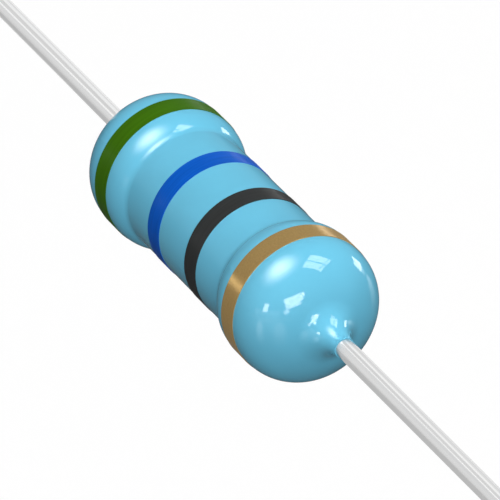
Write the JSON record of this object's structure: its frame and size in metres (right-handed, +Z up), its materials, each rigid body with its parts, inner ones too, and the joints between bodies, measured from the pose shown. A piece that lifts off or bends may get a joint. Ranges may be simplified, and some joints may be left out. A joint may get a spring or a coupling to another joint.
{
  "type": "axial power resistor",
  "caption": "Axial-lead film power resistor: a glossy lacquered dog-bone body with printed colour bands and a straight tinned lead at each end for through-hole mounting.",
  "frame": {"origin": "middle of the body, on the axis of the leads", "axes": "+X along the leads towards the gold tolerance band, +Z up"},
  "size_m": [0.0738, 0.0058, 0.0058],
  "materials": {
    "ceramic": "matte fired ceramic",
    "film": "dull metal film",
    "cap_steel": "tinned drawn steel",
    "tinned_wire": "bright tin",
    "lacquer": "glossy baked lacquer",
    "green_ink": "glossy ink",
    "blue_ink": "glossy ink",
    "black_ink": "glossy ink",
    "gold_ink": "metallic ink"
  },
  "bodies": {
    "root": {"ceramic_core": "ceramic", "resistive_film": "film", "end_cap_left": "cap_steel", "end_cap_right": "cap_steel", "lead_left": "tinned_wire", "lead_right": "tinned_wire", "lacquer_coat": "lacquer", "band_first_digit": "green_ink", "band_second_digit": "blue_ink", "band_multiplier": "black_ink", "band_tolerance": "gold_ink"}
  },
  "joints": []
}
